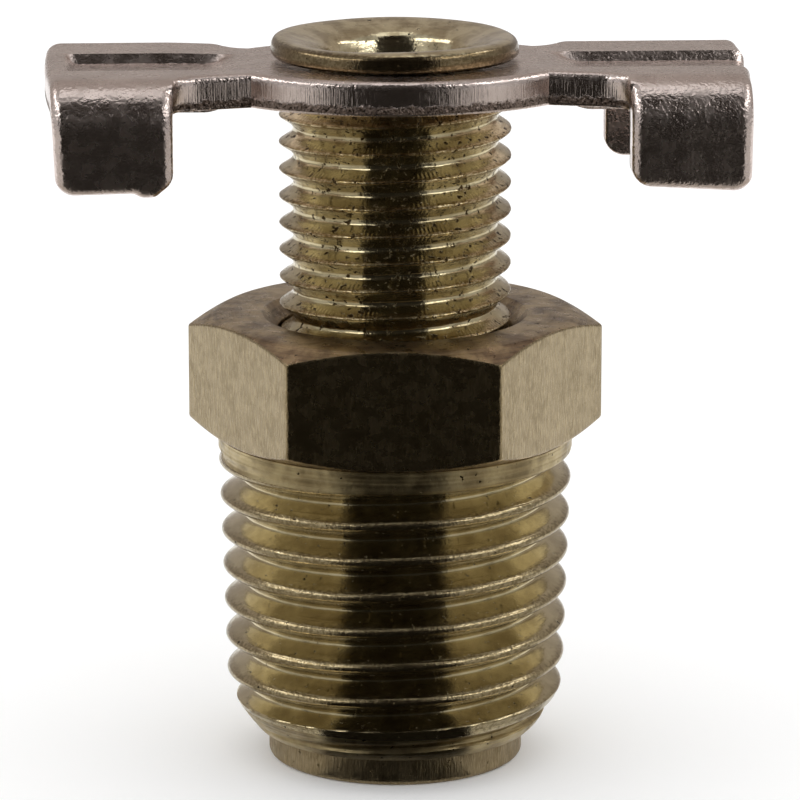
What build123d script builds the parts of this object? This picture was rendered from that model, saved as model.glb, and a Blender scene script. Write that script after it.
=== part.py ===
from build123d import *
import math
import os

os.makedirs("parts", exist_ok=True)

# Radiator drain cock: a hexagon body with a taper pipe thread, a hollow screwed stem with a valve nose below
# the body, and a stamped wing handle riveted on the stem. It is closed. Millimetres, +Z up along the stem,
# origin under the middle of the nose, wings along X.

inch = 25.4
half_flank = 30.0  # degrees, half of the 60 degree thread angle
ridge_root = 0.04  # the threads' ridges start this far under their cores

# Valve nose and its seat
nose_radius = 5.0
nose_height = 1.1
nose_edge = 0.15
seat_angle = 45.0
seat_gap = 0.05  # between the nose's cone and the body's seat
seat_land = 0.3  # lip of the body outside the seat's mouth

# Body: shank with a 1/4-18 taper pipe thread, hexagon, bore
shank_length = 11.9
pipe_pitch = inch / 18
pipe_taper = 1 / 32  # radius gained per length, 1:16 on the diameter
pipe_crest_radius = 6.96  # under the hexagon
pipe_thread_depth = 0.92
pipe_crest_width = 0.26
pipe_run_in = 1.2  # the thread's line crosses +X this far below the shank's foot
lead_height = 1.5
lead_angle = 36.0  # degrees from the axis
hex_across_flats = 14.0
hex_height = 4.7
hex_turn = -3.3  # degrees, from the wings' line to the nearest hexagon corner
hex_chamfer_angle = 24.0
hex_face_radius = 6.9  # round face left by the chamfer
mouth_radius = 5.15  # countersink round the stem
bore_clearance = 0.08

# Stem: screw thread with 24 threads to the inch, waist, drain bore
stem_pitch = inch / 24
stem_crest_radius = 4.5
stem_thread_depth = 0.56
stem_crest_width = 0.2
stem_run_in = 1.02  # the thread's line crosses +X this far below its foot
stem_reach = 8.75  # from the hexagon to the handle
stem_engaged = 8.6  # thread below the hexagon's top face
waist_radius = 3.0
drain_radius = 1.6
drain_floor = 2.2  # solid metal under the drain bore
cross_hole_radius = 1.3
cross_hole_height = 5.4

# Rolled head over the handle
neck_radius = 3.3
neck_clearance = 0.05
rivet_play = 0.04  # above and below the sheet
rivet_radius = 4.8
rivet_height = 0.8
rivet_rim_radius = 3.7  # highest ring of the head
rivet_shoulder = 0.28  # upright edge below the dome
hollow_radius = 2.7  # end of the stem hollowed out so that it can be rolled over
hollow_depth = 1.5
roll_depth = 0.45  # the roll's inner side, from the rim down to the hollow

# Wing handle, bent from sheet
sheet = 1.3
hub_half_depth = 6.1
hub_arc_radius = 8.2
arm_half_neck = 3.75
arm_neck_x = 5.2
arm_half_width = 4.25
arm_width_x = 7.2
wing_inner_x = 8.6
wing_outer_x = 13.22
wing_bow = 0.25  # the outer end bulges this much
flap_half_depth = 6.3
bend_inner_radius = 0.55
front_drop = 4.15  # handle's top to the foot of the flaps
back_drop = 4.95
flap_corner = 0.75
valley_radius = 2.6
valley_depth = 0.42
valley_start_x = 5.9
valley_full_x = 9.6
valley_left_end_x = 12.7  # closed end; the right wing's valley runs out over the edge
pick = 0.01  # tolerance for finding edges by height

# Heights
body_foot = nose_height + seat_gap
hex_foot = body_foot + shank_length
hex_top = hex_foot + hex_height
stem_shoulder = hex_top + stem_reach
handle_foot = stem_shoulder + rivet_play
handle_top = handle_foot + sheet
rivet_foot = handle_top + rivet_play
rivet_top = rivet_foot + rivet_height
thread_foot = hex_top - stem_engaged

# Radii that follow
bore_radius = stem_crest_radius + bore_clearance
seat_slope = math.tan(math.radians(seat_angle))
flank_slope = math.tan(math.radians(half_flank))
lead_slope = math.tan(math.radians(lead_angle))
chamfer_slope = math.tan(math.radians(hex_chamfer_angle))
seat_mouth_radius = nose_radius + seat_gap
shank_foot_radius = seat_mouth_radius + seat_land
hex_corner_radius = hex_across_flats / 2 / math.cos(math.pi / 6)


def shank_radius(height):
    return pipe_crest_radius - (hex_foot - height) * pipe_taper


def ridge(crest_width, depth):
    # Section of a thread's ridge, rooted a little under the core's surface: along the axis, then outwards.
    foot_half = crest_width / 2 + (depth + ridge_root) * flank_slope
    return [
        (-foot_half, -ridge_root),
        (-crest_width / 2, depth),
        (crest_width / 2, depth),
        (foot_half, -ridge_root),
    ]


# Body: core of the shank and hexagon, thread swept round it, ends chamfered, bored through
with BuildPart() as body:
    shank_root_foot = shank_radius(body_foot) - pipe_thread_depth
    with BuildSketch(Plane.XZ):
        with BuildLine():
            Polyline(
                (0, body_foot),
                (shank_root_foot, body_foot),
                (shank_radius(hex_top) - pipe_thread_depth, hex_top),
                (0, hex_top),
                close=True,
            )
        make_face()
    revolve(axis=Axis.Z)
    pipe_start = body_foot - pipe_run_in
    with BuildLine():
        pipe_line = Helix(
            pitch=pipe_pitch,
            height=hex_foot + pipe_pitch - pipe_start,
            radius=shank_radius(pipe_start) - pipe_thread_depth,
            center=(0, 0, pipe_start),
            cone_angle=math.degrees(math.atan(pipe_taper)),
        )
    with BuildSketch(Plane(origin=pipe_line @ 0, x_dir=(0, 0, 1), z_dir=pipe_line % 0)):
        with BuildLine():
            Polyline(*ridge(pipe_crest_width, pipe_thread_depth), close=True)
        make_face()
    sweep(is_frenet=True)
    # Everything below the shank's foot and outside its lead chamfer goes
    with BuildSketch(Plane.XZ):
        with BuildLine():
            Polyline(
                (0, pipe_start - pipe_pitch),
                (pipe_crest_radius + lead_height * lead_slope, pipe_start - pipe_pitch),
                (pipe_crest_radius + lead_height * lead_slope, body_foot + lead_height),
                (shank_foot_radius + lead_height * lead_slope, body_foot + lead_height),
                (shank_foot_radius, body_foot),
                (0, body_foot),
                close=True,
            )
        make_face()
    revolve(axis=Axis.Z, mode=Mode.SUBTRACT)
    with BuildSketch(Plane.XY.offset(hex_foot)):
        RegularPolygon(hex_corner_radius, 6, rotation=hex_turn)
    extrude(amount=hex_height)
    # Corners of the hexagon turned off to a cone at both ends
    for end, inward in ((hex_top, -1), (hex_foot, 1)):
        corner_drop = (hex_corner_radius - hex_face_radius) * chamfer_slope * inward
        with BuildSketch(Plane.XZ):
            with BuildLine():
                Polyline(
                    (hex_face_radius, end),
                    (hex_corner_radius, end + corner_drop),
                    (2 * hex_corner_radius - hex_face_radius, end + 2 * corner_drop),
                    (2 * hex_corner_radius - hex_face_radius, end),
                    close=True,
                )
            make_face()
        revolve(axis=Axis.Z, mode=Mode.SUBTRACT)
    # Bore with the seat at its foot and the countersink at its mouth
    seat_depth = (seat_mouth_radius - bore_radius) / seat_slope
    with BuildSketch(Plane.XZ):
        with BuildLine():
            Polyline(
                (0, body_foot),
                (seat_mouth_radius, body_foot),
                (bore_radius, body_foot + seat_depth),
                (bore_radius, hex_top - (mouth_radius - bore_radius)),
                (mouth_radius, hex_top),
                (0, hex_top),
                close=True,
            )
        make_face()
    revolve(axis=Axis.Z, mode=Mode.SUBTRACT)
body.part.label = "body"
export_step(body.part, "parts/body.step")

# Stem: thread swept on its core and cut off square, then nose, waist, neck and rolled head, drilled
with BuildPart() as stem:
    stem_root_radius = stem_crest_radius - stem_thread_depth
    with Locations((0, 0, thread_foot)):
        Cylinder(
            radius=stem_root_radius,
            height=stem_shoulder - thread_foot,
            align=(Align.CENTER, Align.CENTER, Align.MIN),
        )
    stem_start = thread_foot - stem_run_in
    with BuildLine():
        stem_line = Helix(
            pitch=stem_pitch,
            height=stem_shoulder + stem_pitch - stem_start,
            radius=stem_root_radius,
            center=(0, 0, stem_start),
        )
    with BuildSketch(Plane(origin=stem_line @ 0, x_dir=(0, 0, 1), z_dir=stem_line % 0)):
        with BuildLine():
            Polyline(*ridge(stem_crest_width, stem_thread_depth), close=True)
        make_face()
    sweep(is_frenet=True)
    # The thread is cut off square at its foot and under the handle
    for end, away in ((thread_foot, Align.MAX), (stem_shoulder, Align.MIN)):
        with Locations((0, 0, end)):
            Cylinder(
                radius=stem_crest_radius + stem_pitch,
                height=3 * stem_pitch,
                align=(Align.CENTER, Align.CENTER, away),
                mode=Mode.SUBTRACT,
            )
    with BuildSketch(Plane.XZ):
        with BuildLine():
            Polyline(
                (0, 0),
                (nose_radius - nose_edge, 0),
                (nose_radius, nose_edge),
                (nose_radius, nose_height),
                (waist_radius, nose_height + (nose_radius - waist_radius) / seat_slope),
                (waist_radius, thread_foot),
                (0, thread_foot),
                close=True,
            )
        make_face()
    revolve(axis=Axis.Z)
    # Neck through the handle and the hollow end rolled over it
    with BuildSketch(Plane.XZ):
        with BuildLine():
            Polyline(
                (0, stem_shoulder),
                (neck_radius, stem_shoulder),
                (neck_radius, rivet_foot),
                (rivet_radius, rivet_foot),
                (rivet_radius, rivet_foot + rivet_shoulder),
            )
            Spline(
                (rivet_radius, rivet_foot + rivet_shoulder),
                (rivet_rim_radius, rivet_top),
                tangents=((0, 1), (-1, 0)),
            )
            Spline(
                (rivet_rim_radius, rivet_top),
                (hollow_radius, rivet_top - roll_depth),
                tangents=((-1, 0), (0, -1)),
            )
            Polyline(
                (hollow_radius, rivet_top - roll_depth),
                (hollow_radius, rivet_top - hollow_depth),
                (0, rivet_top - hollow_depth),
                (0, stem_shoulder),
            )
        make_face()
    revolve(axis=Axis.Z)
    drain_foot = nose_height + drain_floor
    with Locations((0, 0, drain_foot)):
        Cylinder(
            radius=drain_radius,
            height=rivet_top - drain_foot,
            align=(Align.CENTER, Align.CENTER, Align.MIN),
            mode=Mode.SUBTRACT,
        )
    with BuildSketch(Plane.XZ):
        with Locations((0, cross_hole_height)):
            Circle(cross_hole_radius)
    extrude(amount=waist_radius, both=True, mode=Mode.SUBTRACT)
stem.part.label = "stem"
export_step(stem.part, "parts/stem.step")

# Wing handle: hub and arms cut from flat sheet, a bent wing at each end with a valley pressed along it
bend_outer_radius = bend_inner_radius + sheet
wing_half_flat = flap_half_depth - bend_outer_radius
neck_hole_radius = neck_radius + neck_clearance
valley_slope = valley_depth / (valley_full_x - valley_start_x)
wing_end_x = wing_outer_x + wing_bow
with BuildPart() as wing_handle:
    with BuildSketch(Plane.XY.offset(handle_foot)):
        # Hub: the overlap of two large discs, one for its front edge and one for its back edge
        with Locations((0, hub_arc_radius - hub_half_depth)):
            Circle(hub_arc_radius)
        with Locations((0, hub_half_depth - hub_arc_radius)):
            Circle(hub_arc_radius, mode=Mode.INTERSECT)
        for side in (-1, 1):
            with BuildLine():
                Polyline(
                    (0, arm_half_neck),
                    (side * arm_neck_x, arm_half_neck),
                    (side * arm_width_x, arm_half_width),
                    (side * wing_inner_x, wing_half_flat),
                    (side * wing_inner_x, -wing_half_flat),
                    (side * arm_width_x, -arm_half_width),
                    (side * arm_neck_x, -arm_half_neck),
                    (0, -arm_half_neck),
                    close=True,
                )
            make_face()
    extrude(amount=sheet)
    for side in (-1, 1):
        # Wing: sheet bent down along its front and back, extruded from the arm outwards
        wing_plane = Plane(origin=(side * wing_inner_x, 0, handle_top), x_dir=(0, 1, 0), z_dir=(side, 0, 0))
        up = side  # the plane's second axis points up on the right and down on the left
        with BuildSketch(wing_plane):
            with BuildLine():
                fold = FilletPolyline(
                    (-flap_half_depth + sheet / 2, -front_drop * up),
                    (-flap_half_depth + sheet / 2, -sheet / 2 * up),
                    (flap_half_depth - sheet / 2, -sheet / 2 * up),
                    (flap_half_depth - sheet / 2, -back_drop * up),
                    radius=bend_inner_radius + sheet / 2,
                )
            trace(fold, line_width=sheet)
        extrude(amount=wing_end_x - wing_inner_x)
    # Valley of even sheet thickness: a rounded rib is added below, then a round trough is cut above
    for side, valley_end_x in ((-1, valley_left_end_x), (1, wing_end_x + sheet)):
        stations = (
            (valley_start_x - sheet, -sheet * valley_slope),
            (valley_full_x, valley_depth),
            (valley_end_x, valley_depth),
        )
        for x, depth in stations:
            with BuildSketch(Plane(origin=(side * x, 0, handle_top), x_dir=(0, 1, 0), z_dir=(1, 0, 0))):
                with Locations((0, valley_radius - depth)):
                    Circle(valley_radius + sheet)
                with Locations((0, -sheet / 2)):
                    Rectangle(
                        4 * valley_radius,
                        4 * valley_radius,
                        align=(Align.CENTER, Align.MAX),
                        mode=Mode.INTERSECT,
                    )
        loft(ruled=True)
        for x, depth in stations:
            with BuildSketch(Plane(origin=(side * x, 0, handle_top), x_dir=(0, 1, 0), z_dir=(1, 0, 0))):
                with Locations((0, valley_radius - depth)):
                    Circle(valley_radius)
        loft(ruled=True, mode=Mode.SUBTRACT)
    # Outer ends bowed in plan
    with BuildSketch(Plane.XY.offset(handle_top - back_drop - sheet)):
        with BuildLine():
            Line((-wing_outer_x, -flap_half_depth), (wing_outer_x, -flap_half_depth))
            ThreePointArc((wing_outer_x, -flap_half_depth), (wing_end_x, 0), (wing_outer_x, flap_half_depth))
            Line((wing_outer_x, flap_half_depth), (-wing_outer_x, flap_half_depth))
            ThreePointArc((-wing_outer_x, flap_half_depth), (-wing_end_x, 0), (-wing_outer_x, -flap_half_depth))
        make_face()
    extrude(amount=back_drop + 2 * sheet, mode=Mode.INTERSECT)
    # Feet of the flaps rounded at their corners
    for flap_foot in (handle_top - front_drop, handle_top - back_drop):
        foot_edges = wing_handle.edges().filter_by_position(Axis.Z, flap_foot - pick, flap_foot + pick)
        fillet(foot_edges.filter_by(lambda edge: edge.length < 2 * sheet), radius=flap_corner)
    # Hole for the stem's neck
    with BuildSketch(Plane.XY.offset(handle_foot)):
        Circle(neck_hole_radius)
    extrude(amount=sheet, mode=Mode.SUBTRACT)
wing_handle.part.label = "wing_handle"
export_step(wing_handle.part, "parts/wing_handle.step")
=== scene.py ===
from functools import partial

import bpy
import numpy as np
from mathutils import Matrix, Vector


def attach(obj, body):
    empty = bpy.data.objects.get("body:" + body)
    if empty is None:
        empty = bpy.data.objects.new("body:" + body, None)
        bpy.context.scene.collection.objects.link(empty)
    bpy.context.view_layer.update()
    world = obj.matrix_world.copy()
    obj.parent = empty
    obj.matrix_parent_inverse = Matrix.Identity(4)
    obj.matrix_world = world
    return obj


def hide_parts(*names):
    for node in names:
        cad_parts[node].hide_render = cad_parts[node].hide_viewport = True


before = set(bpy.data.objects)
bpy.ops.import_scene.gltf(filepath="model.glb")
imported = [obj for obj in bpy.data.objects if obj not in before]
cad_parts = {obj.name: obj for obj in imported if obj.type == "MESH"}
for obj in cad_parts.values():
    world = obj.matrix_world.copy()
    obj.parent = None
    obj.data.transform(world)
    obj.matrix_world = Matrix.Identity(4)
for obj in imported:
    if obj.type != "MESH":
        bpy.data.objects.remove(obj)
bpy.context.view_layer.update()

mm = 0.001
scene = bpy.context.scene
print("stage: frame loaded")


def linear(code):
    # sRGB hex to the linear red, green, blue and alpha that shaders take.
    values = np.array([int(code[i:i + 2], 16) for i in (1, 3, 5)]) / 255
    values = np.where(values <= 0.04045, values / 12.92, ((values + 0.055) / 1.055) ** 2.4)
    return (*values, 1)


def softMin(a, b, width):
    # min(a, b) with the corner between them rounded over about the given width.
    return (a + b - np.sqrt((a - b) ** 2 + width ** 2)) / 2


def smoothStep(low, high, value):
    # 0 below low and 1 above high, and t t (3 - 2 t) of the way t between them.
    t = np.clip((value - low) / (high - low), 0, 1)
    return t * t * (3 - 2 * t)


def waves(u, v, seed, count, low, high):
    # Smooth unevenness of about unit size: a sum of sine waves of random direction, wave number and phase.
    chance = np.random.default_rng(seed)
    turn = chance.uniform(0, 2 * np.pi, count)
    number = chance.uniform(low, high, count)
    phase = chance.uniform(0, 2 * np.pi, count)
    total = 0
    for a, k, p in zip(turn, number, phase):
        total = total + np.sin(k * (u * np.cos(a) + v * np.sin(a)) + p)
    return total * np.sqrt(2 / count)


def rounded(points, radii, steps=5):
    # A section line of (radius, height) corners with each inner corner replaced by an arc of its own radius.
    line = [np.array(points[0], float)]
    for before, corner, after, radius in zip(points, points[1:], points[2:], radii):
        before, corner, after = (np.array(p, float) for p in (before, corner, after))
        if radius == 0:
            line.append(corner)
            continue
        back = (before - corner) / np.linalg.norm(before - corner)
        ahead = (after - corner) / np.linalg.norm(after - corner)
        half = np.arccos(np.clip(back @ ahead, -1, 1)) / 2
        middle = corner + (back + ahead) / np.linalg.norm(back + ahead) * radius / np.sin(half)
        start = corner + back * radius / np.tan(half) - middle
        end = corner + ahead * radius / np.tan(half) - middle
        t = np.linspace(0, 1, steps)[:, None]
        spokes = start * (1 - t) + end * t
        line.extend(middle + spokes / np.linalg.norm(spokes, axis=1, keepdims=True) * radius)
    line.append(np.array(points[-1], float))
    return np.array(line)


def revolved(radius, height, angle):
    # Points (r cos a, r sin a, z) of a round surface; radius and height are rows along the section.
    radius, height, angle = np.broadcast_arrays(radius, height, angle[None, :])
    return np.stack([radius * np.cos(angle), radius * np.sin(angle), height], -1)


def threadDrop(angle, height, spec):
    # Depth below the crest of a right-hand thread that rises one pitch per turn: deep a / (a + b), with
    # a = sqrt(s^2 + c^2) - c and b = sqrt(e^2 + r^2) - r. Here s and e are the distances along the axis
    # from the crest and from the root, and c and r say how round these two are.
    turns = (height - spec["start"]) / spec["pitch"] - angle / (2 * np.pi)
    s = np.abs(turns - np.round(turns)) * spec["pitch"]
    e = spec["pitch"] / 2 - s
    a = np.sqrt(s ** 2 + spec["crestRound"] ** 2) - spec["crestRound"]
    b = np.sqrt(e ** 2 + spec["rootRound"] ** 2) - spec["rootRound"]
    return spec["deep"] * a / (a + b)


def gridQuads(rows, columns, start, wrap):
    # Corner numbers of a grid's faces, counted row by row; a wrapped grid also joins its last column to its first.
    row = np.arange(rows - 1)[:, None] * columns
    column = np.arange(columns if wrap else columns - 1)[None, :]
    after = (column + 1) % columns
    corners = [row + column, row + after, row + columns + after, row + columns + column]
    return (start + np.stack(corners, -1)).reshape(-1, 4)


def buildPiece(name, patches, materials):
    # Each patch is a grid of points in mm with the number of its material, for all of it or row by row.
    # Points that meet at seams and poles become one, and faces that shrink to three corners stay triangles.
    weld, sharpAngle = 2e-4, np.radians(38)
    points = np.concatenate([patch["points"].reshape(-1, 3) for patch in patches])
    across, quads, finish, start = [], [], [], 0
    for patch in patches:
        rows, columns = patch["points"].shape[:2]
        across.append(np.broadcast_to(patch.get("across", 0.0), (rows, columns, 2)).reshape(-1, 2))
        quad = gridQuads(rows, columns, start, patch.get("wrap", False))
        quads.append(quad[:, ::-1] if patch.get("flip", False) else quad)
        perRow = np.broadcast_to(patch["finish"], rows - 1)
        finish.append(np.repeat(perRow, len(quad) // (rows - 1)))
        start += rows * columns
    across, quads, finish = (np.concatenate(part) for part in (across, quads, finish))
    cells = np.round(points / weld).astype(np.int64)
    first, same = np.unique(cells, axis=0, return_index=True, return_inverse=True)[1:]
    corners = same.reshape(-1)[quads]
    equal = corners == np.roll(corners, -1, 1)
    whole = equal.sum(1) == 0
    faces, sources, slots = [corners[whole]], [quads[whole]], [finish[whole]]
    for k in range(4):
        pinched = (equal.sum(1) == 1) & equal[:, k]
        keep = [i for i in range(4) if i != k]
        faces.append(corners[pinched][:, keep])
        sources.append(quads[pinched][:, keep])
        slots.append(finish[pinched])
    mesh = bpy.data.meshes.new(name)
    mesh.from_pydata((points[first] * mm).tolist(), [], [face for part in faces for face in part.tolist()])
    mesh.polygons.foreach_set("material_index", np.concatenate(slots).astype(np.int32))
    mesh.polygons.foreach_set("use_smooth", np.ones(len(mesh.polygons), bool))
    uv = mesh.uv_layers.new(name="across")
    source = np.concatenate([part.reshape(-1) for part in sources])
    uv.data.foreach_set("uv", across[source].reshape(-1).astype(np.float32))
    mesh.update()
    mesh.set_sharp_from_angle(angle=sharpAngle)
    for material in materials:
        mesh.materials.append(material)
    piece = bpy.data.objects.new(name, mesh)
    scene.collection.objects.link(piece)
    print("piece:", name, len(mesh.polygons), "faces")
    return piece


def addNode(material, kind, inputs, output=0, **settings):
    # One shader node with its settings and links. Inputs maps a socket's name or number to a value or to
    # another node's output; one of the new node's own outputs is given back.
    node = material.node_tree.nodes.new("ShaderNode" + kind)
    for key, value in settings.items():
        setattr(node, key, value)
    for key, value in inputs.items():
        if isinstance(value, bpy.types.NodeSocket):
            material.node_tree.links.new(value, node.inputs[key])
        else:
            node.inputs[key].default_value = value
    return node.outputs[output]


def newMaterial(name):
    material = bpy.data.materials.new(name)
    material.use_nodes = True
    return material, material.node_tree.nodes["Principled BSDF"]


def finishMetal(material, shader, colour, rough, relief):
    # Bare metal; the relief counts in hundredths of a millimetre.
    hundredth = 0.01 * mm
    bump = addNode(material, "Bump", {"Height": relief, "Distance": hundredth, "Strength": 1.0})
    shader.inputs["Metallic"].default_value = 1.0
    for socket, value in (("Base Color", colour), ("Roughness", rough), ("Normal", bump)):
        material.node_tree.links.new(value, shader.inputs[socket])
    return material


# Object coordinates to millimetres, and the settings that most Map Range and Mix nodes share
toMillimetres = (1 / mm, 1 / mm, 1 / mm)
smooth = {"interpolation_type": "SMOOTHSTEP"}
mixing = {"output": 2, "data_type": "RGBA"}

brassMarks = {
    # Number to a millimetre: round the bar and along it for the drawn lines
    "sheen": 2.3, "grain": 8.0, "pits": 4.2, "drawn": (12, 12, 2.2), "rings": 6.0,
    "skinEdge": 5.0, "flecks": 9.0, "pebbles": 7.0, "chatterPatches": 0.8,
    # Number to a turn
    "chatterTeeth": 162.0,
    # Added roughness, and relief in hundredths of a millimetre
    "skinRough": 0.06, "pitRough": 0.3, "pitDepth": 1.5, "ringsInSkin": 1.4, "skinMean": 1.2,
}


def brass(name, look):
    # Bar brass: bright metal under a thin olive film, dark pits, and the marks of how the surface was made.
    material, shader = newMaterial(name)
    add = partial(addNode, material)
    marks = brassMarks
    place = add("Mapping", {"Vector": add("TexCoord", {}, "Object"), "Scale": toMillimetres})
    film = add("TexNoise", {"Vector": place, "Scale": look["filmScale"], "Detail": 5.0, "Roughness": 0.6}, "Fac")
    film = add("MapRange", {"Value": film, "From Min": 0.36, "From Max": 0.66}, **smooth)
    colour = add("Mix", {"Factor": film, 6: linear(look["bright"]), 7: linear(look["dull"])}, **mixing)
    sheen = add("TexNoise", {"Vector": place, "Scale": marks["sheen"], "Detail": 4.0}, "Fac")
    rough = add("MapRange", {
        "Value": sheen, "From Min": 0.3, "From Max": 0.7,
        "To Min": look["roughness"] * 0.8, "To Max": look["roughness"] * 1.25,
    }, **smooth)
    grain = add("TexNoise", {"Vector": place, "Scale": marks["grain"], "Detail": 1.0, "Roughness": 0.6}, "Fac")
    relief = add("Math", {0: grain, 1: look["grain"]}, operation="MULTIPLY")
    if look["draw"]:
        # Lines left by drawing the bar run along its length.
        along = add("Mapping", {"Vector": place, "Scale": marks["drawn"]})
        lines = add("TexNoise", {"Vector": along, "Scale": 1.0, "Roughness": 0.65}, "Fac")
        share = add("MapRange", {"Value": lines, "From Min": 0.42, "From Max": 0.72}, **smooth)
        colour = add("Mix", {"Factor": share, 6: colour, 7: linear(look["line"])}, **mixing)
        relief = add("Math", {0: lines, 1: look["draw"], 2: relief}, operation="MULTIPLY_ADD")
    if look["turn"]:
        # Lines left by turning run round the axis: noise of the distance from the axis and the height alone.
        parts = add("SeparateXYZ", {0: place}).node.outputs
        flat = add("VectorMath", {0: place, 1: (1, 1, 0)}, operation="MULTIPLY")
        out = add("VectorMath", {0: flat}, "Value", operation="LENGTH")
        ring = add("CombineXYZ", {"X": out, "Y": parts["Z"]})
        rings = add("TexNoise", {"Vector": ring, "Scale": marks["rings"], "Detail": 3.0, "Roughness": 0.6}, "Fac")
        relief = add("Math", {0: rings, 1: look["turn"], 2: relief}, operation="MULTIPLY_ADD")
        if look["stain"]:
            stain = add("MapRange", {
                "Value": rings, "From Min": 0.46, "From Max": 0.62, "To Max": look["stain"],
            }, **smooth)
            stain = add("Math", {0: stain, 1: film}, operation="MULTIPLY")
            colour = add("Mix", {"Factor": stain, 6: colour, 7: linear(look["pit"])}, **mixing)
    if look["crest"]:
        # Crests of the thread keep the rough skin of the turned bar; the grooves between are cut smooth. On the
        # rolled head the same dark skin is painted shade on its side.
        worn = add("SeparateXYZ", {0: add("UVMap", {}, uv_map="across")}, "X")
        edge = add("TexNoise", {"Vector": place, "Scale": marks["skinEdge"], "Detail": 3.0}, "Fac")
        edge = add("MapRange", {
            "Value": edge, "From Min": 0.3, "From Max": 0.7, "To Min": -0.1, "To Max": 0.1,
        }, **smooth)
        skin = add("Math", {0: worn, 1: edge}, operation="ADD")
        skin = add("MapRange", {"Value": skin, "From Min": 0.62, "From Max": 0.95}, **smooth)
        flecks = add("TexNoise", {"Vector": place, "Scale": marks["flecks"], "Detail": 1.0}, "Fac")
        flecks = add("MapRange", {"Value": flecks, "From Min": 0.42, "From Max": 0.6}, **smooth)
        bare = add("Mix", {"Factor": flecks, 6: linear(look["skin"]), 7: linear(look["fleck"])}, **mixing)
        colour = add("Mix", {"Factor": skin, 6: colour, 7: bare}, **mixing)
        rough = add("Math", {0: skin, 1: marks["skinRough"], 2: rough}, operation="MULTIPLY_ADD")
        pebbles = add("TexNoise", {"Vector": place, "Scale": marks["pebbles"], "Roughness": 0.7}, "Fac")
        pebbles = add("Math", {0: rings, 1: marks["ringsInSkin"], 2: pebbles}, operation="MULTIPLY_ADD")
        # Less its mean, so that the skin leaves no step where it ends
        pebbles = add("Math", {0: pebbles, 1: marks["skinMean"]}, operation="SUBTRACT")
        pebbles = add("Math", {0: pebbles, 1: look["crest"]}, operation="MULTIPLY")
        relief = add("Math", {0: pebbles, 1: skin, 2: relief}, operation="MULTIPLY_ADD")
        if look["chatter"]:
            # Chatter of the die: short teeth beside the crest, in patches.
            teeth = add("Math", {0: parts["Y"], 1: parts["X"]}, operation="ARCTAN2")
            teeth = add("Math", {0: teeth, 1: marks["chatterTeeth"]}, operation="MULTIPLY")
            teeth = add("Math", {0: teeth}, operation="SINE")
            aboveRoot = add("MapRange", {"Value": worn, "From Min": 0.3, "From Max": 0.5}, **smooth)
            belowCrest = add("MapRange", {
                "Value": worn, "From Min": 0.8, "From Max": 0.95, "To Min": 1.0, "To Max": 0.0,
            }, **smooth)
            patches = add("TexNoise", {"Vector": place, "Scale": marks["chatterPatches"]}, "Fac")
            patches = add("MapRange", {
                "Value": patches, "From Min": 0.42, "From Max": 0.6, "To Max": look["chatter"],
            }, **smooth)
            for share in (aboveRoot, belowCrest, patches):
                teeth = add("Math", {0: teeth, 1: share}, operation="MULTIPLY")
            relief = add("Math", {0: relief, 1: teeth}, operation="ADD")
    pits = add("TexNoise", {"Vector": place, "Scale": marks["pits"], "Detail": 3.0, "Roughness": 0.55}, "Fac")
    pits = add("MapRange", {"Value": pits, "From Min": look["pitLow"], "From Max": look["pitLow"] + 0.05}, **smooth)
    colour = add("Mix", {"Factor": pits, 6: colour, 7: linear(look["pit"])}, **mixing)
    rough = add("Math", {0: pits, 1: marks["pitRough"], 2: rough}, operation="MULTIPLY_ADD")
    relief = add("Math", {0: pits, 1: -marks["pitDepth"], 2: relief}, operation="MULTIPLY_ADD")
    return finishMetal(material, shader, colour, rough, relief)


# Grooves of both threads: cut smooth, so the light runs along them in thin lines
threadLook = {
    "bright": "#C9BC98", "dull": "#AFA17E", "pit": "#2A2012", "skin": "#857657", "fleck": "#AC9D7C",
    "filmScale": 0.7, "pitLow": 0.67, "roughness": 0.155, "grain": 0.4,
    "draw": 0, "turn": 1.0, "stain": 0, "crest": 1.3, "chatter": 0,
}
threadBrass = brass("thread cut in brass bar", threadLook)

# The stem's thread is worn and more pitted
stemLook = dict(
    threadLook, skin="#8A7850", pit="#463722", fleck="#B8A886", pitLow=0.605, roughness=0.15, grain=0.5,
    turn=1.2, crest=1.5, chatter=0.5,
)
stemBrass = brass("worn screw thread in brass", stemLook)

# Lead of the pipe thread and its run-out: turned with a coarse feed
leadLook = dict(threadLook, bright="#B9A880", dull="#968562", roughness=0.38, grain=0.9, turn=3.6, stain=0.3, crest=0)
leadBrass = brass("turned lead chamfer in brass", leadLook)

# Flats of the hexagon and side of the nose: drawn bar left as it came, dull with fine upright lines
drawnLook = {
    "bright": "#978769", "dull": "#877758", "pit": "#7A6A4C", "line": "#A89776",
    "filmScale": 1.1, "pitLow": 0.95, "roughness": 0.26, "grain": 0.9,
    "draw": 1.7, "turn": 0, "stain": 0, "crest": 0,
}
drawnBrass = brass("drawn hexagon brass bar", drawnLook)
noseBrass = brass("drawn brass bar, worn", dict(drawnLook, roughness=0.46, draw=3.4, pitLow=0.66))

# Ends and chamfers: turned, stained brown and grey
facedLook = {
    "bright": "#BFAB89", "dull": "#83705A", "pit": "#2C2217",
    "filmScale": 0.8, "pitLow": 0.67, "roughness": 0.32, "grain": 1.8,
    "draw": 0, "turn": 3.2, "stain": 0.4, "crest": 0, "chatter": 0,
}
facedBrass = brass("turned end face of brass bar", facedLook)

# Rolled head: hammered over, olive, with dull spots; its dark skin colour paints the shade on the head's side
headLook = dict(
    facedLook, bright="#DCCFAC", dull="#B2A282", skin="#6E5F45", fleck="#85755A", filmScale=1.3,
    roughness=0.15, grain=0.7, turn=0.5, stain=0.2, crest=0.8,
)
headBrass = brass("riveted brass head", headLook)

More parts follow.
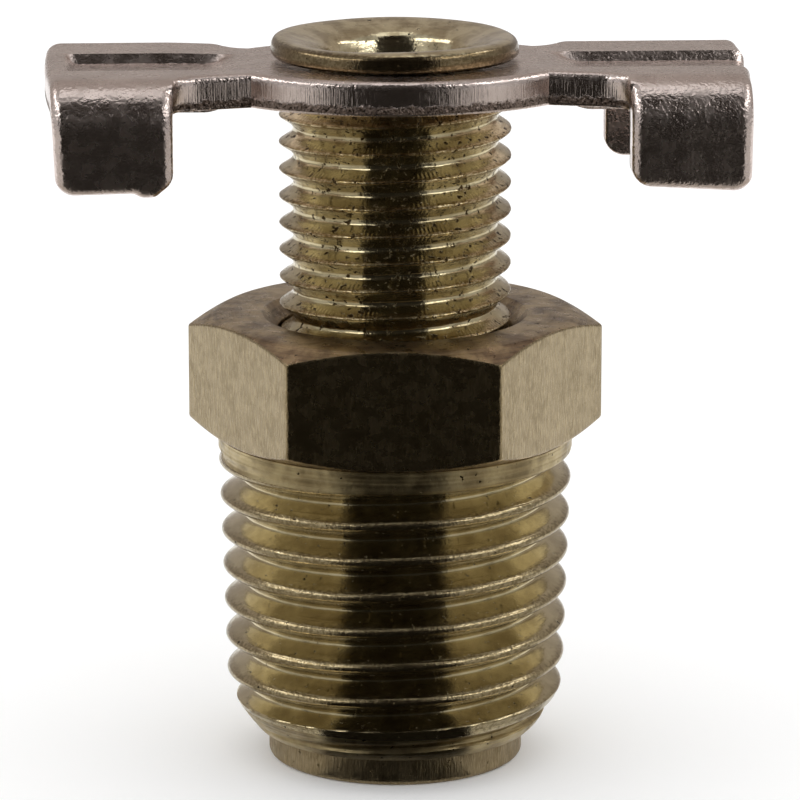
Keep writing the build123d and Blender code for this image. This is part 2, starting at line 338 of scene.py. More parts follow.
nickelMarks = {
    # Number to a millimetre: along the edge and from face to face for the punch's lines
    "clouds": 0.6, "sheen": 1.6, "grain": 7.0, "crystals": 5.5, "punched": (11, 0.4, 1),
    "tornEdge": 3.5, "rips": 5.0, "pores": 11.0,
    # Added roughness, and relief in hundredths of a millimetre
    "tornRough": 0.25, "ripDepth": 16.0,
}


def nickel(name, look):
    # Plated sheet: a satin grey film over pressed steel; grain shows where the sheet is stretched in the bends.
    material, shader = newMaterial(name)
    add = partial(addNode, material)
    marks = nickelMarks
    place = add("Mapping", {"Vector": add("TexCoord", {}, "Object"), "Scale": toMillimetres})
    cloud = add("TexNoise", {"Vector": place, "Scale": marks["clouds"], "Detail": 4.0, "Roughness": 0.6}, "Fac")
    cloud = add("MapRange", {"Value": cloud, "From Min": 0.35, "From Max": 0.65}, **smooth)
    colour = add("Mix", {"Factor": cloud, 6: linear(look["light"]), 7: linear(look["dark"])}, **mixing)
    sheen = add("TexNoise", {"Vector": place, "Scale": marks["sheen"], "Detail": 4.0}, "Fac")
    rough = add("MapRange", {
        "Value": sheen, "From Min": 0.3, "From Max": 0.7,
        "To Min": look["roughness"] * 0.85, "To Max": look["roughness"] * 1.2,
    }, **smooth)
    grain = add("TexNoise", {"Vector": place, "Scale": marks["grain"], "Detail": 1.0, "Roughness": 0.6}, "Fac")
    relief = add("Math", {0: grain, 1: look["grain"]}, operation="MULTIPLY")
    across = add("UVMap", {}, uv_map="across")
    if look["peel"]:
        # Bent sheet: its outer face is stretched, so its crystals stand out and glitter; "across" says how much.
        stretch = add("SeparateXYZ", {0: across}, "X")
        crystals = add("TexNoise", {"Vector": place, "Scale": marks["crystals"], "Roughness": 0.6}, "Fac")
        crystals = add("Math", {0: crystals, 1: 0.5}, operation="SUBTRACT")
        crystals = add("Math", {0: crystals, 1: look["peel"]}, operation="MULTIPLY")
        relief = add("Math", {0: stretch, 1: crystals, 2: relief}, operation="MULTIPLY_ADD")
    if look["cut"]:
        # Cut edge: the punch leaves upright lines on the upper part, then the sheet tears off rough.
        down = add("SeparateXYZ", {0: across}, "Y")
        wander = add("TexNoise", {
            "Vector": place, "Scale": marks["tornEdge"], "Detail": 4.0, "Roughness": 0.7,
        }, "Fac")
        wander = add("MapRange", {
            "Value": wander, "From Min": 0.3, "From Max": 0.7, "To Min": -0.1, "To Max": 0.1,
        }, **smooth)
        torn = add("Math", {0: down, 1: wander}, operation="ADD")
        torn = add("MapRange", {"Value": torn, "From Min": 0.62, "From Max": 0.78}, **smooth)
        upright = add("Mapping", {"Vector": across, "Scale": marks["punched"]})
        lines = add("TexNoise", {"Vector": upright, "Scale": 1.0, "Detail": 3.0, "Roughness": 0.7}, "Fac")
        lines = add("Math", {0: lines, 1: 0.5}, operation="SUBTRACT")
        lines = add("Math", {0: lines, 1: look["cut"]}, operation="MULTIPLY")
        burnished = add("Math", {0: 1.0, 1: torn}, operation="SUBTRACT")
        relief = add("Math", {0: burnished, 1: lines, 2: relief}, operation="MULTIPLY_ADD")
        rips = add("TexNoise", {"Vector": place, "Scale": marks["rips"], "Roughness": 0.7}, "Fac")
        rips = add("Math", {0: rips, 1: 0.5}, operation="SUBTRACT")
        rips = add("Math", {0: rips, 1: marks["ripDepth"]}, operation="MULTIPLY")
        relief = add("Math", {0: torn, 1: rips, 2: relief}, operation="MULTIPLY_ADD")
        pores = add("TexNoise", {"Vector": place, "Scale": marks["pores"]}, "Fac")
        pores = add("MapRange", {"Value": pores, "From Min": 0.48, "From Max": 0.66}, **smooth)
        pores = add("Math", {0: torn, 1: pores}, operation="MULTIPLY")
        colour = add("Mix", {"Factor": torn, 6: colour, 7: linear(look["torn"])}, **mixing)
        colour = add("Mix", {"Factor": pores, 6: colour, 7: linear(look["pore"])}, **mixing)
        rough = add("Math", {0: torn, 1: marks["tornRough"], 2: rough}, operation="MULTIPLY_ADD")
    return finishMetal(material, shader, colour, rough, relief)


# Handle's faces and its punched edges
nickelLook = {
    "light": "#DCCDC6", "dark": "#CEBFB8", "torn": "#8A7A70", "pore": "#40362F",
    "roughness": 0.25, "grain": 2.4, "peel": 3.4, "cut": 0,
}
satinNickel = nickel("satin nickel plate on pressed steel", nickelLook)
shearedNickel = nickel("punched edge of plated steel", dict(nickelLook, roughness=0.17, grain=0.5, peel=0, cut=1.6))
print("stage: materials")


# Body: shank with a taper pipe thread, hexagon, bore
bodySpec = {
    "columns": 204,
    "cornerColumns": np.radians([-0.7, -0.25, 0.25, 0.7]),
    "foot": 1.15,
    "hexFoot": 13.05,
    "hexTop": 17.75,
    "bore": 4.58,
    "boreRing": 7.15,
    "seatMouth": 5.05,
    "lip": 5.35,
    "seatRound": 0.03,
    "mouthRound": 0.05,
    "crest": 6.94,
    "taper": 1 / 32,
    "faceRadius": 6.9,
    "flatHalf": 7.0,
    "cornerPower": 260,
    "chamfer": np.tan(np.radians(24)),
    "coneRows": 7,
    "coneGap": 0.035,
    "edgeIn": 0.012,
    "mouth": 5.15,
    "turn": np.radians(-3.3),
    "lead": [(1.15, 5.4), (1.4, 5.66), (2.16, 6.2), (2.9, 6.6), (3.6, 6.95), (14, 11)],
    "leadTop": 2.2,
    "leadFade": (2.0, 2.3),
    "leadEdge": 0.04,
    "leadSkin": 0.8,
    "runOut": (12.0, 12.5),
    "runOutFoot": 12.1,
    "feed": 0.17,
    "feedDepth": 0.008,
    "seam": 0.02,
    "threadRows": 330,
    "thread": {"start": -0.05, "pitch": 25.4 / 18, "crestRound": 0.26, "rootRound": 0.22, "deep": 0.92},
}


def bodyPatches(spec):
    # Columns all round, with some more beside the hexagon's corners
    even = np.arange(spec["columns"]) * 2 * np.pi / spec["columns"]
    corner = np.arange(6)[:, None] * np.pi / 3 + spec["cornerColumns"]
    angle = np.sort(np.concatenate([even, corner.reshape(-1) % (2 * np.pi)])) + spec["turn"]
    # Hexagon with slightly rounded corners: 1/r is a high-power mean of the six flats' cos(a - ak)/flatHalf.
    flats = np.cos(angle[None, :] - spec["turn"] - np.radians(30 + 60 * np.arange(6))[:, None])
    power = spec["cornerPower"]
    hexRadius = spec["flatHalf"] / (np.clip(flats, 0, 1) ** power).sum(0) ** (1 / power)
    hexRadius = hexRadius * spec["flatHalf"] / hexRadius.min()

    foot, hexFoot, hexTop = spec["foot"], spec["hexFoot"], spec["hexTop"]
    seatTop = foot + spec["seatMouth"] - spec["bore"]
    seatLine = [(spec["bore"], seatTop), (spec["seatMouth"], foot), (spec["lip"], foot)]
    seat = rounded(seatLine, [spec["seatRound"]])

    # Thread: r = crest(z) - drop(a, z), cut by the lead cone below and running out under the hexagon
    height = np.linspace(foot + spec["seam"], hexFoot - spec["seam"], spec["threadRows"])[:, None]
    crest = spec["crest"] - (hexFoot - height) * spec["taper"]
    ranOut = smoothStep(*spec["runOut"], height)
    drop = threadDrop(angle[None, :], height, spec["thread"]) * (1 - ranOut)
    lead = np.interp(height, *np.array(spec["lead"]).T)
    # Lead and run-out bear the tool's feed: a wave of one feed along the axis
    fed = ranOut + (1 - smoothStep(*spec["leadFade"], height))
    feedMarks = spec["feedDepth"] * fed * (1 + np.sin(2 * np.pi * height / spec["feed"]))
    shank = softMin(crest - drop, lead, spec["leadEdge"]) - feedMarks
    worn = np.where(lead < crest - drop, spec["leadSkin"], 1 - drop / spec["thread"]["deep"])

    # Hexagon: face, cone over the corners, flats; the cone's height follows its radius
    def chamferDrop(radius):
        return np.maximum(radius - spec["faceRadius"], 0) * spec["chamfer"]

    cone = np.linspace(0, 1, spec["coneRows"])[:, None]
    coneRadius = spec["faceRadius"] + (hexRadius[None, :] - spec["coneGap"] - spec["faceRadius"]) * cone
    # Rows up the flats, closer at both edges
    side = np.array([0.006, 0.02, 0.06, 0.2, 0.4, 0.6, 0.8, 0.94, 0.98, 0.994])[:, None]
    sideIn = np.zeros_like(side)
    sideIn[[0, -1]] = spec["edgeIn"]
    sideRadius = hexRadius[None, :] - sideIn
    low = hexFoot + chamferDrop(hexRadius)[None, :]
    high = hexTop - chamferDrop(hexRadius)[None, :]
    inside = rounded(
        [(spec["faceRadius"], hexTop), (spec["mouth"], hexTop), (spec["bore"], hexTop + spec["bore"] - spec["mouth"]),
         (spec["bore"], spec["boreRing"]), (spec["bore"], seatTop)],
        [spec["mouthRound"], spec["mouthRound"], 0],
    )
    full = np.ones_like(angle)[None, :]
    radius = np.concatenate([
        seat[:, :1] * full, shank, coneRadius, sideRadius, coneRadius[::-1], inside[1:, :1] * full,
    ])
    heights = np.concatenate([
        seat[:, 1:] * full, height * full, hexFoot + chamferDrop(coneRadius), low + (high - low) * side,
        hexTop - chamferDrop(coneRadius[::-1]), inside[1:, 1:] * full,
    ])
    across = np.zeros(radius.shape + (2,))
    across[len(seat):len(seat) + len(height), :, 0] = worn
    # Thread 0, hexagon's flats 1, turned faces 2, lead and run-out 3
    leadRows = int((height < spec["leadTop"]).sum())
    outRows = int((height > spec["runOutFoot"]).sum())
    threadRows = len(height) - leadRows - outRows
    counts = [len(seat), leadRows, threadRows, outRows, len(cone), len(side), len(cone) + len(inside) - 2]
    finish = np.repeat([2, 3, 0, 3, 2, 1, 2], counts)
    return [{"points": revolved(radius, heights, angle), "wrap": True, "finish": finish, "across": across}]


bodyPiece = buildPiece("bodyTurned", bodyPatches(bodySpec), [threadBrass, drawnBrass, facedBrass, leadBrass])
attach(bodyPiece, "cock_body")
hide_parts("body")


# Stem: valve nose, drilled waist, screw thread, neck and rolled head
stemSpec = {
    "columns": 204,
    "noseRadius": 5.0,
    "noseHeight": 1.1,
    "noseSideTop": 1.04,
    "noseRounds": (0.2, 0.05, 0.1),
    "waist": 3.0,
    "threadFoot": 9.15,
    "shoulder": 26.5,
    "crest": 4.5,
    "neck": 3.3,
    "headFoot": 27.88,
    "headTop": 28.68,
    "hollow": 2.5,
    "hollowDepth": 1.5,
    "hollowRounds": (0.2, 0.05),
    "drain": 1.6,
    "drainFloor": 3.3,
    # Section of the rolled head: radius, and height above its foot
    "roll": [
        (4.66, 0.02), (4.77, 0.12), (4.8, 0.26), (4.79, 0.42), (4.76, 0.56), (4.68, 0.69), (4.52, 0.77),
        (4.3, 0.8), (4.0, 0.76), (3.65, 0.67), (3.3, 0.56), (3.0, 0.43), (2.82, 0.28), (2.72, 0.1),
    ],
    "rollRows": 53,
    "rollSmoothing": 3,
    # Waves of the worn thread and of the rolled edge: size in mm, then seed, count and range of wave numbers
    "wear": {"size": 0.005, "deeper": 1.2, "twist": 0.7, "waves": (21, 24, 2.5, 9)},
    "rimDip": {"size": 0.025, "round": 3, "waves": (4, 7, 0.5, 1.6)},
    "rimOut": {"size": 0.03, "round": 4, "waves": (9, 7, 0.5, 1.8)},
    "rimFrom": 0.5,
    # Painted shade of the head: outside this radius it takes the rough brown skin, as strong at the side and on top,
    # changing between these heights
    "shadedRadius": 4.4,
    "stain": (1.1, 0.5),
    "shadeFade": (0.6, 0.82),
    "holeHeight": 5.4,
    "hole": 1.3,
    "holeBand": (3.6, 7.4),
    "holeColumns": 96,
    "holeRows": 9,
    "holeCrowding": 1.5,
    "seam": 0.02,
    # Rows of the thread: coarse inside the body, fine above it
    "hiddenBelow": 17.4,
    "rowSteps": (0.09, 0.034),
    "thread": {"start": 8.13, "pitch": 25.4 / 24, "crestRound": 0.06, "rootRound": 0.24, "deep": 0.54},
}


def holedBand(radius, spec, quarter):
    # Half of a round wall with a cross hole: for each direction t round the hole, points run from the
    # hole's edge (x = q cos t, z = h + q sin t, on the wall) to the band's border in the unrolled wall.
    t = np.linspace(0, 2 * np.pi, spec["holeColumns"], endpoint=False)
    low, high = spec["holeBand"]
    edgeAngle = np.arcsin(spec["hole"] * np.cos(t) / radius)
    edgeHeight = spec["holeHeight"] + spec["hole"] * np.sin(t)
    reach = 1 / np.maximum(np.abs(np.cos(t)) / (np.pi / 2), np.abs(np.sin(t)) / ((high - low) / 2))
    borderAngle = reach * np.cos(t)
    borderHeight = (low + high) / 2 + reach * np.sin(t)
    mix = np.linspace(0, 1, spec["holeRows"])[:, None] ** spec["holeCrowding"]
    angle = edgeAngle * (1 - mix) + borderAngle * mix + quarter
    height = edgeHeight * (1 - mix) + borderHeight * mix
    return np.stack([radius * np.cos(angle), radius * np.sin(angle), height], -1)


def stemPatches(spec):
    angle = np.arange(spec["columns"]) * 2 * np.pi / spec["columns"]
    low, high = spec["holeBand"]
    nose = rounded(
        [(0, 0), (spec["noseRadius"], 0), (spec["noseRadius"], spec["noseHeight"]),
         (spec["waist"], spec["noseHeight"] + spec["noseRadius"] - spec["waist"]), (spec["waist"], low)],
        spec["noseRounds"],
    )
    thread, seam = spec["thread"], spec["seam"]
    coarse, fine = spec["rowSteps"]
    height = np.concatenate([
        np.arange(spec["threadFoot"] + seam, spec["hiddenBelow"], coarse),
        np.arange(spec["hiddenBelow"], spec["shoulder"] - seam, fine),
    ])[:, None]
    drop = threadDrop(angle[None, :], height, thread)
    # Worn thread: the surface wanders in and out by about a hundredth of a mm
    wear = spec["wear"]
    around = spec["crest"] * np.cos(angle)[None, :] + wear["twist"] * height
    aside = spec["crest"] * np.sin(angle)[None, :] - wear["twist"] * height
    screw = spec["crest"] - drop - wear["size"] * (waves(around, aside, *wear["waves"]) + wear["deeper"])
    collar = np.array([(spec["neck"], spec["shoulder"]), (spec["neck"], spec["headFoot"])])
    # Head: the stem's hollow end rolled over the handle, then the hollow and the drain bore
    foot = spec["headFoot"]
    bottom = spec["headTop"] - spec["hollowDepth"]
    corners = np.array(spec["roll"]) + (0, foot)
    steps = np.linspace(0, len(corners) - 1, spec["rollRows"])
    roll = np.stack([np.interp(steps, np.arange(len(corners)), column) for column in corners.T], -1)
    for smoothing in range(spec["rollSmoothing"]):
        roll[1:-1] = (roll[:-2] + 2 * roll[1:-1] + roll[2:]) / 4
    drained = [roll[-1], (spec["hollow"], bottom), (spec["drain"], bottom), (spec["drain"], high)]
    head = np.concatenate([roll, rounded(drained, spec["hollowRounds"])[1:]])
    full = np.ones_like(angle)[None, :]
    upper = np.array([(spec["waist"], high), (spec["waist"], spec["threadFoot"])])
    radius = np.concatenate([upper[:, :1] * full, screw, collar[:, :1] * full, head[:, :1] * full])
    heights = np.concatenate([upper[:, 1:] * full, height * full, collar[:, 1:] * full, head[:, 1:] * full])

    def rimWaves(part):
        return waves(part["round"] * np.cos(angle), part["round"] * np.sin(angle), *part["waves"])[None, :]

    # The rolled edge is uneven, most at its highest ring
    dip, out = spec["rimDip"], spec["rimOut"]
    uneven = smoothStep(foot, foot + spec["rimFrom"], heights)
    heights = heights + dip["size"] * uneven * (rimWaves(dip) - 1)
    radius = radius + out["size"] * uneven * rimWaves(out)
    floor = np.array([(spec["drain"], low), (spec["drain"], spec["drainFloor"]), (0, spec["drainFloor"])])
    across = np.zeros(radius.shape + (2,))
    across[len(upper):len(upper) + len(height), :, 0] = 1 - drop / thread["deep"]
    # The head's outside takes the rough brown skin, full on the side and less on top: painted shade, darker on the
    # side than on top
    shadeSide, shadeTop = spec["stain"]
    outside = (radius > spec["shadedRadius"]) & (heights > foot - seam)
    onTop = smoothStep(foot + spec["shadeFade"][0], foot + spec["shadeFade"][1], heights)
    across[..., 0] = np.where(outside, shadeSide + (shadeTop - shadeSide) * onTop, across[..., 0])
    # Thread 0, drawn side of the nose 1, turned faces 2, head 3
    finish = np.repeat([2, 0, 3], [len(upper), len(height), len(collar) + len(head) - 1])
    noseFinish = np.where(nose[:-1, 1] < spec["noseSideTop"], 1, 2)
    patches = [
        {"points": revolved(nose[:, :1], nose[:, 1:], angle), "wrap": True, "finish": noseFinish},
        {"points": revolved(radius, heights, angle), "wrap": True, "finish": finish, "across": across},
        {"points": revolved(floor[:, :1], floor[:, 1:], angle), "wrap": True, "finish": 2},
    ]
    for quarter in (-np.pi / 2, np.pi / 2):
        outer = holedBand(spec["waist"], spec, quarter)
        inner = holedBand(spec["drain"], spec, quarter)
        patches.append({"points": outer, "wrap": True, "finish": 2})
        patches.append({"points": inner, "wrap": True, "finish": 2, "flip": True})
        patches.append({"points": np.stack([inner[0], outer[0]]), "wrap": True, "finish": 2})
    return patches


stemPiece = buildPiece("stemTurned", stemPatches(stemSpec), [stemBrass, noseBrass, facedBrass, headBrass])
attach(stemPiece, "spindle")
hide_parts("stem")


# Handle: hub, two arms and two bent wings of one sheet; of two values for the wings, the first is the left one's
handleSpec = {
    "top": 27.84,
    "sheet": 1.3,
    "hole": 3.35,
    "hubArc": 8.2,
    "hubShift": 2.1,
    "neckX": 5.63,
    "armHalf": 3.75,
    "armWidens": (5.2, 0.25),
    "wingX": 8.6,
    "endX": 13.22,
    "endBow": 0.12,
    "flare": (0.25, 0.55),
    "backShort": 0.5,
    "backShortV": (4.3, 6.0),
    "halfFlat": 4.45,
    "bend": 1.85,
    "foldX": (6.0, 7.3),
    "frontDrop": 4.15,
    "backDrop": 4.95,
    "fillet": 1.0,
    "flapCorner": 0.75,
    "valleyMiddle": -0.4,
    "valleyHalf": 2.25,
    "valleyWall": 0.22,
    "besideWall": 0.02,
    "valleyDepth": 0.36,
    "valleyX": (5.9, 7.4),
    "leftClose": (12.25, 12.8),
    "keepHalf": 2.8,
    "backSweep": (5.8, 7.2, 0.9),
    "lean": 0.037,
    "leanFrom": -3.75,
    "lift": 0.1,
    "liftX": (6, 9),
    "slant": (0.1, 0.26),
    "taper": (0.25, 0.08),
    "burr": (9.6, 0.17, 0.45),
    "topRoll": (0.26, 0.42),
    "topRollX": (7.4, 8.6),
    "footRoll": 0.1,
    # How far down the bend the stretched grain comes and goes
    "stretchIn": (1.5, 2.2),
    "stretchOut": (2.5, 3.7),
    # Columns along the hub's arcs and across an arm, and rows along a wing, the latter two with the share of
    # their reach that is crowded at the edges
    "arcColumns": 90,
    "armColumns": (47, 0.12),
    "wingRows": (48, 0.14),
}


def armHalf(x, v, spec):
    # Half width of hub and arm on the side of v: the arm widens outwards and sweeps into the flap with a
    # round fillet; behind, the wing's shoulder reaches farther in.
    start, end, shoulder = spec["backSweep"]
    widensFrom, slope = spec["armWidens"]
    half = spec["armHalf"] + np.maximum(x - widensFrom, 0) * slope
    half = half + np.where(v > 0, shoulder * smoothStep(start, end, x), 0)
    into = np.clip(x - (spec["wingX"] - spec["fillet"]), 0, spec["fillet"])
    return half + spec["fillet"] - np.sqrt(spec["fillet"] ** 2 - into ** 2)


def valley(x, v, left, spec):
    # Depth of the trough: a flat bottom between two sloped walls, depth times the share w of the wall passed;
    # it deepens outwards, and on the left wing it closes before the edge.
    deepened = smoothStep(*spec["valleyX"], x)
    closed = np.where(left, smoothStep(*spec["leftClose"], x), 0)
    w = np.clip((spec["valleyHalf"] - np.abs(v - spec["valleyMiddle"])) / spec["valleyWall"], 0, 1)
    return spec["valleyDepth"] * deepened * (1 - closed) * w


def sheetPoint(x, v, side, spec, pressed=1):
    # Outer surface of the sheet at x along the handle and v across it, bent down over a quarter circle:
    # y = f + b sin t, z = -b (1 - cos t) with t = (|v| - f)/b, then straight down.
    flat, bend = spec["halfFlat"], spec["bend"]
    far = np.abs(v)
    t = np.clip((far - flat) / bend, 0, np.pi / 2)
    straight = np.maximum(far - flat - bend * np.pi / 2, 0)
    folded = smoothStep(*spec["foldX"], np.abs(x))
    y = far + (np.minimum(far, flat) + bend * np.sin(t) - far) * folded
    z = -(bend * (1 - np.cos(t)) + straight) * folded
    left = side * x < 0
    # The handle sits leaned back on its rivet, the left wing less so
    behind = np.clip(v, spec["leanFrom"], flat) - spec["leanFrom"]
    lifted = np.where(left, smoothStep(*spec["liftX"], np.abs(x)), 0)
    lift = spec["lift"] * behind / (flat - spec["leanFrom"]) * lifted
    z = z - (behind * spec["lean"] - lift) * (1 - 2 * t / np.pi)
    z = z - pressed * valley(np.abs(x), v, left, spec)
    return np.stack([x * side, np.sign(v) * y, spec["top"] + z], -1)


def sheetPair(x, v, side, edge, spec):
    # Both faces of the sheet, one sheet apart along the normal it has without the trough, with the edges rolled
    # over on both: near an edge a face gives way by r - sqrt(r^2 - (r - d)^2), d being the distance to the edge.
    step = 1e-3
    along = sheetPoint(x + step, v, side, spec, 0) - sheetPoint(x - step, v, side, spec, 0)
    over = sheetPoint(x, v + step, side, spec, 0) - sheetPoint(x, v - step, side, spec, 0)
    normal = np.cross(along, over) * side
    normal /= np.linalg.norm(normal, axis=-1, keepdims=True)

    def roll(radius):
        near = radius - np.clip(edge, 0, radius)
        return (radius - np.sqrt(radius ** 2 - near ** 2))[..., None]

    outer = sheetPoint(x, v, side, spec)
    hubRoll, flapRoll = spec["topRoll"]
    topRoll = hubRoll + (flapRoll - hubRoll) * smoothStep(*spec["topRollX"], np.abs(x))
    return outer - normal * roll(topRoll), outer - normal * (spec["sheet"] - roll(spec["footRoll"]))


def edgeSpread(count, roll):
    # Numbers from -1 to 1 crowded at both ends, where the sheet's edge is rolled.
    close = np.array([0, 0.04, 0.1, 0.2, 0.35, 0.6]) * roll
    return np.concatenate([-1 + close, np.linspace(-1 + roll, 1 - roll, count), 1 - close[::-1]])


def edgeStrip(upper, lower):
    # Cut edge between the two faces; "across" holds the way along the edge in mm and from the outer face down.
    length = np.concatenate([[0], np.cumsum(np.linalg.norm(np.diff(upper, axis=0), axis=1))])
    t = np.linspace(0, 1, 7)[:, None, None]
    points = upper[None] * (1 - t) + lower[None] * t
    return points, np.stack(np.broadcast_arrays(length[None], t[..., 0]), -1)


def handlePatches(spec):
    patches = []

    def addSheet(upper, lower, wrap, flip, stretch=0.0):
        across = np.stack(np.broadcast_arrays(stretch, np.zeros(upper.shape[:2])), -1)
        patches.append({"points": upper, "wrap": wrap, "finish": 0, "flip": flip, "across": across})
        patches.append({"points": lower, "wrap": wrap, "finish": 0, "flip": not flip})

    def addEdge(upper, lower, flip, wrap=False):
        points, across = edgeStrip(upper, lower)
        patches.append({"points": points, "across": across, "wrap": wrap, "finish": 1, "flip": flip})

    def plateEdge(x, v):
        onHub = spec["hubArc"] - np.hypot(x, np.abs(v) + spec["hubShift"])
        return np.maximum(onHub, armHalf(np.abs(x), v, spec) - np.abs(v))

    # Columns across the wing's root, with some on the edges of the trough's walls; on the arm they keep their
    # place over the trough and draw together outside it
    wall, beside, keep = spec["valleyWall"], spec["besideWall"], spec["keepHalf"]
    ends = np.array([armHalf(spec["wingX"], sign, spec) for sign in (-1, 1)])
    onWall = np.array([-beside, 0, 0.5 * wall, wall, wall + beside])
    walls = np.concatenate([onWall - spec["valleyHalf"], spec["valleyHalf"] - onWall]) + spec["valleyMiddle"]
    even = (edgeSpread(*spec["armColumns"]) + 1) / 2 * ends.sum() - ends[0]
    spread = np.sort(np.concatenate([even, walls]))

    def columnsAt(x):
        far = np.abs(spread)
        share = (armHalf(x, spread, spec) - keep) / (np.where(spread > 0, ends[1], ends[0]) - keep)
        return np.sign(spread) * np.where(far > keep, keep + (far - keep) * share, far)

    # Hub: rings from the stem's hole to its outline, which is two arcs and the two necks
    neckX = spec["neckX"]
    neck = columnsAt(neckX)
    count = len(neck)
    arcX = np.linspace(-neckX, neckX, spec["arcColumns"])[1:-1]
    arcV = np.sqrt(spec["hubArc"] ** 2 - arcX ** 2) - spec["hubShift"]
    outlineX = np.concatenate([np.full(count, neckX), arcX[::-1], np.full(count, -neckX), arcX])
    outlineV = np.concatenate([neck, arcV, neck[::-1], -arcV])
    bearing = np.arctan2(outlineV, outlineX)
    # Rings, closer at the outline, where the edge is rolled
    mix = np.concatenate([np.linspace(0, 0.88, 12), [0.92, 0.945, 0.965, 0.98, 0.99, 0.996, 1]])[:, None]
    x = spec["hole"] * np.cos(bearing) * (1 - mix) + outlineX * mix
    v = spec["hole"] * np.sin(bearing) * (1 - mix) + outlineV * mix
    upper, lower = sheetPair(x, v, 1, plateEdge(x, v), spec)
    addSheet(upper, lower, True, True)
    addEdge(upper[0], lower[0], False, True)
    back = np.arange(count - 1, count + len(arcX) + 1)
    front = np.concatenate([np.arange(2 * count + len(arcX) - 1, len(bearing)), [0]])
    for run in (back, front):
        addEdge(upper[-1][run], lower[-1][run], True)

    wingX, flat = spec["wingX"], spec["halfFlat"]
    span = spec["endX"] - wingX
    straight = flat + spec["bend"] * np.pi / 2 - spec["bend"]
    for side in (-1, 1):
        mirrored = side < 0
        # Arm: rows crowd together where the fillet turns into the flap
        ease = np.concatenate([np.linspace(0, 0.7, 14), 0.7 + 0.3 * np.sin(np.linspace(0.1, np.pi / 2, 14))])
        armX = neckX + (wingX - neckX) * ease[:, None]
        x = np.broadcast_to(armX, (len(ease), count))
        v = columnsAt(armX)
        upper, lower = sheetPair(x, v, side, plateEdge(x, v), spec)
        addSheet(upper, lower, False, not mirrored)
        addEdge(upper[:, 0], lower[:, 0], not mirrored)
        addEdge(upper[:, -1], lower[:, -1], mirrored)

        # Wing: front flap, flat with the valley, back flap; u runs from the arm to the wing's end
        u = (edgeSpread(*spec["wingRows"])[:, None] + 1) / 2
        # The front flap's foot runs a little askew, and the left one has a burr
        slant, taper, flare = (spec[key][int(side > 0)] for key in ("slant", "taper", "flare"))
        frontLength = straight + spec["frontDrop"] + slant * (u - 0.5)
        if mirrored:
            burrX, burr, burrHalf = spec["burr"]
            frontLength = frontLength + burr * np.exp(-((wingX + u * span - burrX) / burrHalf) ** 4)
        backLength = straight + spec["backDrop"]
        # Columns down a flap, closer at its foot
        crowded = [0.87, 0.91, 0.94, 0.96, 0.975, 0.985, 0.993, 1]
        flap = np.concatenate([np.linspace(0, 0.82, 22)[1:], crowded])[None, :]
        # Round corners of the flaps: their feet rise by c - sqrt(c^2 - n^2), n being the way into the corner
        corner = spec["flapCorner"]
        nearEnd = corner - np.minimum(np.minimum(u * span, (1 - u) * span), corner)
        cut = corner - np.sqrt(corner ** 2 - nearEnd ** 2)
        middle = np.broadcast_to(spread[None, :], (len(u), count))
        frontV = -(ends[0] + (frontLength - cut - ends[0]) * flap)[:, ::-1]
        backV = ends[1] + (backLength - cut - ends[1]) * flap
        v = np.concatenate([frontV, middle, backV], 1)
        # The wing's end is bowed, flares towards the back and draws in down the flaps
        far = np.abs(v)
        depth = np.minimum(far, flat) / flat
        down = np.clip((far - flat) / (backLength - flat), 0, 1)
        endX = spec["endX"] + spec["endBow"] * (1 - depth ** 2) - taper * down
        endX = endX + flare * np.clip((v + flat) / (2 * flat), 0, 1)
        endX = endX - spec["backShort"] * mirrored * smoothStep(*spec["backShortV"], v)
        x = wingX + (endX - wingX) * u
        root = np.where(v > 0, ends[1], ends[0])
        toRoot = np.where(far > root, x - wingX, np.hypot(x - wingX, root - far))
        toFoot = np.where(v < 0, frontLength - cut + v, backLength - cut - v)
        edge = np.minimum(np.minimum(toRoot, endX - x), toFoot)
        upper, lower = sheetPair(x, v, side, edge, spec)
        # Stretched most low in the bend
        arc = far - flat
        stretch = smoothStep(*spec["stretchIn"], arc) * (1 - smoothStep(*spec["stretchOut"], arc))
        addSheet(upper, lower, False, not mirrored, stretch)
        flapColumns = flap.shape[1]
        addEdge(upper[:, 0], lower[:, 0], not mirrored)
        addEdge(upper[:, -1], lower[:, -1], mirrored)
        addEdge(upper[-1], lower[-1], not mirrored)
        addEdge(upper[0, :flapColumns + 1], lower[0, :flapColumns + 1], mirrored)
        addEdge(upper[0, -flapColumns - 1:], lower[0, -flapColumns - 1:], mirrored)
    return patches


handlePiece = buildPiece("handleStamped", handlePatches(handleSpec), [satinNickel, shearedNickel])
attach(handlePiece, "handle")
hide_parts("wing_handle")
print("stage: pieces")


# Stage: pale floor and white surroundings, with flags round the set that only the metal's reflections see
def stageCard(name, path, middle, half, colour, glow=0.0):
    # Part of a round wall: the (radius, height) path turned about the upright axis through the given angles.
    columns = 33
    angle = np.radians(np.linspace(middle - half, middle + half, columns))
    path = np.array(path, float)
    points = revolved(path[:, :1], path[:, 1:], angle)
    material, shader = newMaterial(name)
    shader.inputs["Base Color"].default_value = linear(colour)
    shader.inputs["Roughness"].default_value = 1.0
    shader.inputs["Specular IOR Level"].default_value = 0.0
    shader.inputs["Emission Color"].default_value = (1, 1, 1, 1)
    shader.inputs["Emission Strength"].default_value = glow
    card = buildPiece(name, [{"points": points, "wrap": False, "finish": 0}], [material])
    return card


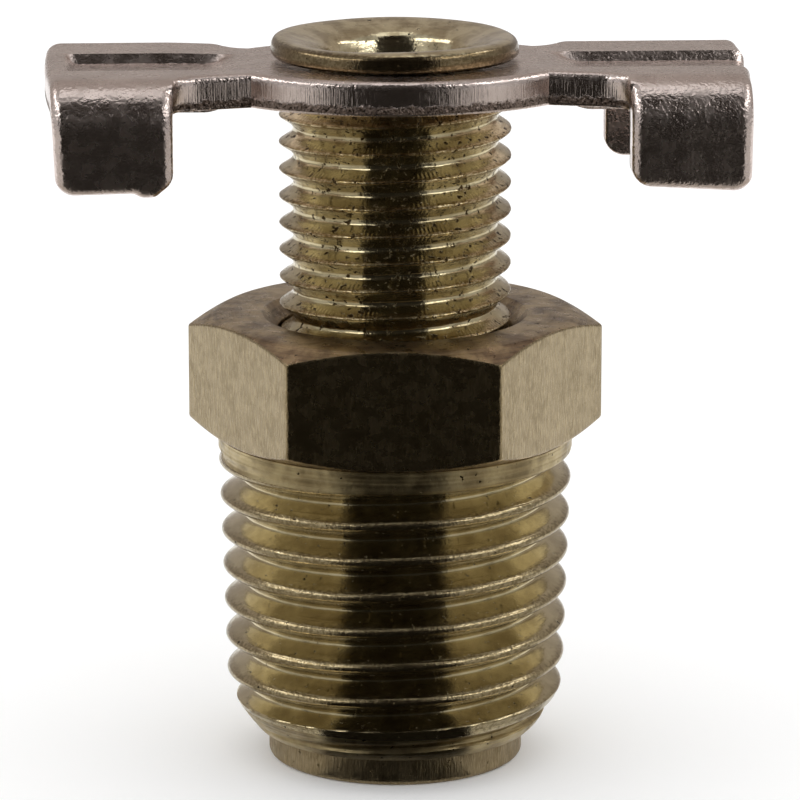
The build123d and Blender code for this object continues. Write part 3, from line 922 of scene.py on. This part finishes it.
# Angles in degrees: the front cards' half width, then the turn from the camera and half width of those at the sides
stageSpec = {
    "toCamera": -92.9, "frontHalf": 37.5, "side": (74.5, 36.5), "strip": (78.5, 40.5), "ground": (67, 29),
    "gap": (75, 1.6), "worldStrength": 1.1,
}
toCamera, frontHalf = stageSpec["toCamera"], stageSpec["frontHalf"]
stageCard("paleFloor", [(0, -0.02), (900, -0.02)], 0, 180, "#FDFDFD", 0.05)
flags = [
    stageCard("darkFlag", [(5.1, 0.05), (300, 0.05), (300, 240)], toCamera, frontHalf, "#262421"),
    stageCard("frontStrip", [(300, 240), (300, 340)], toCamera, frontHalf, "#302C28"),
    stageCard("darkRoof", [(300, 340), (95, 420)], toCamera, frontHalf, "#26221E"),
    stageCard("greyFlag", [(330, 4), (330, 330), (115, 390)], toCamera + 180, 70, "#A69F9A"),
]
sideCards = [
    ("Wall", [(312, 4), (312, 232)], "side", "#B8B8B8", 0.0),
    ("Strip", [(310, 232), (310, 340)], "strip", "#FFFFFF", 2.5),
    ("Roof", [(310, 340), (95, 420)], "side", "#A8A8A8", 0.0),
    ("FloorFlag", [(7, 0.2), (70, 0.2)], "ground", "#BCB8B0", 0.0),
    ("FarFlag", [(70, 0.2), (300, 0.2)], "ground", "#C8C6C2", 0.0),
    ("Gap", [(295, 0.4), (295, 340)], "gap", "#1A1816", 0.0),
]
for name, sign in (("left", -1), ("right", 1)):
    for part, path, where, colour, glow in sideCards:
        turn, half = stageSpec[where]
        flags.append(stageCard(name + part, path, toCamera + sign * turn, half, colour, glow))
for flag in flags:
    flag.visible_camera = False
    flag.visible_diffuse = False
    flag.visible_shadow = False

world = bpy.data.worlds.new("white studio")
world.use_nodes = True
world.node_tree.nodes["Background"].inputs["Color"].default_value = (1, 1, 1, 1)
world.node_tree.nodes["Background"].inputs["Strength"].default_value = stageSpec["worldStrength"]
scene.world = world

# Camera fitted to the photo: from the front, 13.3 degrees down, 2.9 degrees round to the left, aimed a little
# to the right of the hexagon's middle and below it
cameraSpec = {
    "lens": 223.5, "sensor": 36, "distance": 194, "raise": np.radians(13.3), "turn": np.radians(-2.9),
    "hex": (0, 0, 15.4), "aimRight": 0.19, "aimBelow": 1.156,
}
direction = Vector((
    np.sin(cameraSpec["turn"]) * np.cos(cameraSpec["raise"]),
    -np.cos(cameraSpec["turn"]) * np.cos(cameraSpec["raise"]),
    np.sin(cameraSpec["raise"]),
))
rightward = Vector((0, 0, 1)).cross(direction).normalized()
upward = direction.cross(rightward)
position = Vector(cameraSpec["hex"]) + direction * cameraSpec["distance"]
aim = Vector(cameraSpec["hex"]) + rightward * cameraSpec["aimRight"] - upward * cameraSpec["aimBelow"]
cameraData = bpy.data.cameras.new("photoCamera")
cameraData.lens = cameraSpec["lens"]
cameraData.sensor_width = cameraSpec["sensor"]
cameraData.clip_start = 0.01
camera = bpy.data.objects.new("photoCamera", cameraData)
camera.location = position * mm
camera.rotation_euler = (position - aim).to_track_quat("Z", "Y").to_euler()
scene.collection.objects.link(camera)
scene.camera = camera
scene.view_settings.view_transform = "Standard"
print("stage: light and camera")
